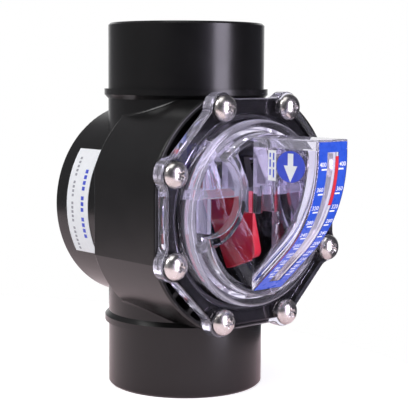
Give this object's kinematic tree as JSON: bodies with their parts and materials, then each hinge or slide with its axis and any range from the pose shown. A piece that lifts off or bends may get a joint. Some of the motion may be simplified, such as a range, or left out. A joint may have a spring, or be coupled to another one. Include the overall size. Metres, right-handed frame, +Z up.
{
  "type": "pool flow meter valve",
  "caption": "Black swing check valve with a pipe socket above and below, a clear bolted lid and a sprung flapper whose red pointer swings in a clear fin to show the flow.",
  "frame": {"origin": "centre of the lower port's end face, on which the valve stands", "axes": "+Z up along the pipe axis, -Y towards the lid and its fin, X across the valve along the hinge"},
  "size_m": [0.0928, 0.1166, 0.1464],
  "materials": {
    "body_black": "moulded black, semi-gloss",
    "clear_plastic": "moulded clear plastic, polished",
    "black_rubber": "moulded rubber, matt",
    "stainless": "stainless steel, polished",
    "red_plastic": "moulded red, semi-gloss",
    "grey_plastic": "moulded grey, matt",
    "scale_blue": "printed film, gloss",
    "sticker_blue": "printed film, gloss",
    "sticker_white": "printed film, satin"
  },
  "bodies": {
    "housing": {"valve_body": "body_black", "lid": "clear_plastic", "lid_seal": "black_rubber", "lid_screws": "stainless", "hinge_pin": "stainless", "return_spring": "stainless", "scale_label": "scale_blue", "round_sticker": "sticker_blue", "side_sticker": "sticker_white", "body_label": "sticker_white"},
    "swing_flapper": {"flapper": "body_black", "pointer": "red_plastic", "flapper_seal": "black_rubber", "seal_retainer": "grey_plastic", "retainer_screw": "stainless"}
  },
  "joints": [
    {"name": "flapper_hinge", "type": "hinge", "parent": "housing", "child": "swing_flapper", "pos_m": [0, -0.0313, 0.0972], "axis": [-1, 0, 0], "range_deg": [0, 65], "stiffness_Nm_per_rad": 0.015, "springref_deg": -68.75, "deforming": ["return_spring"]}
  ]
}
